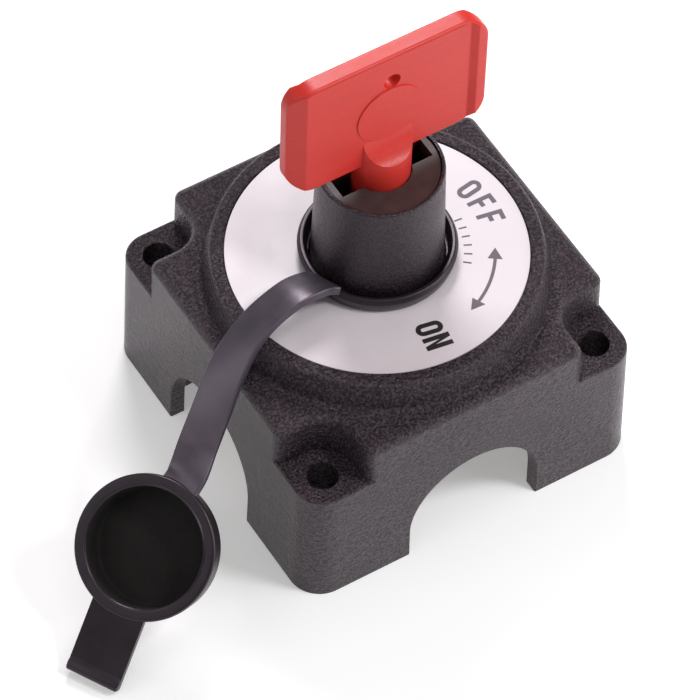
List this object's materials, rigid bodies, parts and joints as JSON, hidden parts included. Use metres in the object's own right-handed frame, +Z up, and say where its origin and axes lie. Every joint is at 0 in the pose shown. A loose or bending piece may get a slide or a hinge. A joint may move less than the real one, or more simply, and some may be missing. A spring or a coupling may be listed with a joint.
{
  "type": "battery isolator switch",
  "caption": "Square surface-mount battery isolator with a removable red key, round dial, cable arches, and a rubber dust cap on a strap.",
  "frame": {"origin": "centre of the four mounting holes, on the mounting plane", "axes": "+Z up out of the mounting plane, along the key; +X towards the OFF mark; -Y towards the ON mark"},
  "size_m": [0.1145, 0.07, 0.097],
  "materials": {
    "housing_plastic": "fine moulded grain, black with a violet cast",
    "barrel_plastic": "fine satin grain",
    "keyway_plastic": "matt",
    "dial_face": "satin printed film",
    "insulator": "moulded",
    "rotor_plastic": "moulded",
    "washer_plastic": "acetal",
    "key_plastic": "glossy moulded red",
    "strap_rubber": "smooth, soft sheen",
    "seal_rubber": "matt",
    "copper": "bright copper",
    "brass_nut": "machined brass",
    "zinc_steel": "zinc plated",
    "spring_steel": "drawn wire"
  },
  "bodies": {
    "housing": {"housing": "housing_plastic", "key_barrel": "barrel_plastic", "keyway_plate": "keyway_plastic", "barrel_gasket": "seal_rubber", "dial_label": "dial_face", "base_plate": "insulator", "base_gasket": "seal_rubber", "base_screws": "zinc_steel", "terminal_stud_in": "copper", "terminal_stud_out": "copper", "stud_lock_nuts": "brass_nut", "stud_flat_washers": "zinc_steel", "stud_spring_washers": "zinc_steel", "stud_outer_nuts": "brass_nut", "return_spring": "spring_steel", "thrust_washer": "washer_plastic"},
    "rotor": {"rotor": "rotor_plastic", "rotor_seal": "seal_rubber"},
    "contacts": {"contact_carrier": "washer_plastic", "contact_bridge": "copper"},
    "key": {"key": "key_plastic"},
    "collar": {"strap_collar": "strap_rubber"},
    "strap": {"strap_band": "strap_rubber"},
    "cap": {"dust_cap": "strap_rubber", "pull_tab": "strap_rubber"}
  },
  "joints": [
    {"name": "rotor_turn", "type": "hinge", "parent": "housing", "child": "rotor", "pos_m": [0, 0, 0.05], "axis": [0, 0, 1], "range_deg": [-90, 0]},
    {"name": "contact_travel", "type": "slide", "parent": "housing", "child": "contacts", "axis": [0, 0, -1], "range_m": [0, 0.00301], "deforming": ["return_spring"]},
    {"name": "key_pull", "type": "slide", "parent": "rotor", "child": "key", "axis": [0, 0, 1], "range_m": [0, 0.03]},
    {"name": "strap_swivel", "type": "hinge", "parent": "housing", "child": "collar", "pos_m": [0, 0, 0.0435], "axis": [0, 0, 1], "range_deg": [-23, 0]},
    {"name": "strap_lift", "type": "hinge", "parent": "collar", "child": "strap", "pos_m": [-0.01626, -0.00497, 0.0463], "axis": [-0.2924, 0.9563, 0], "range_deg": [0, 70]},
    {"name": "cap_fold", "type": "hinge", "parent": "strap", "child": "cap", "pos_m": [-0.04982, -0.01523, 0.0286], "axis": [-0.2924, 0.9563, 0], "range_deg": [0, 45]}
  ],
  "couplings": [
    {"joint": "contact_travel", "follows": "rotor_turn", "m_per_rad": -0.0019099}
  ]
}
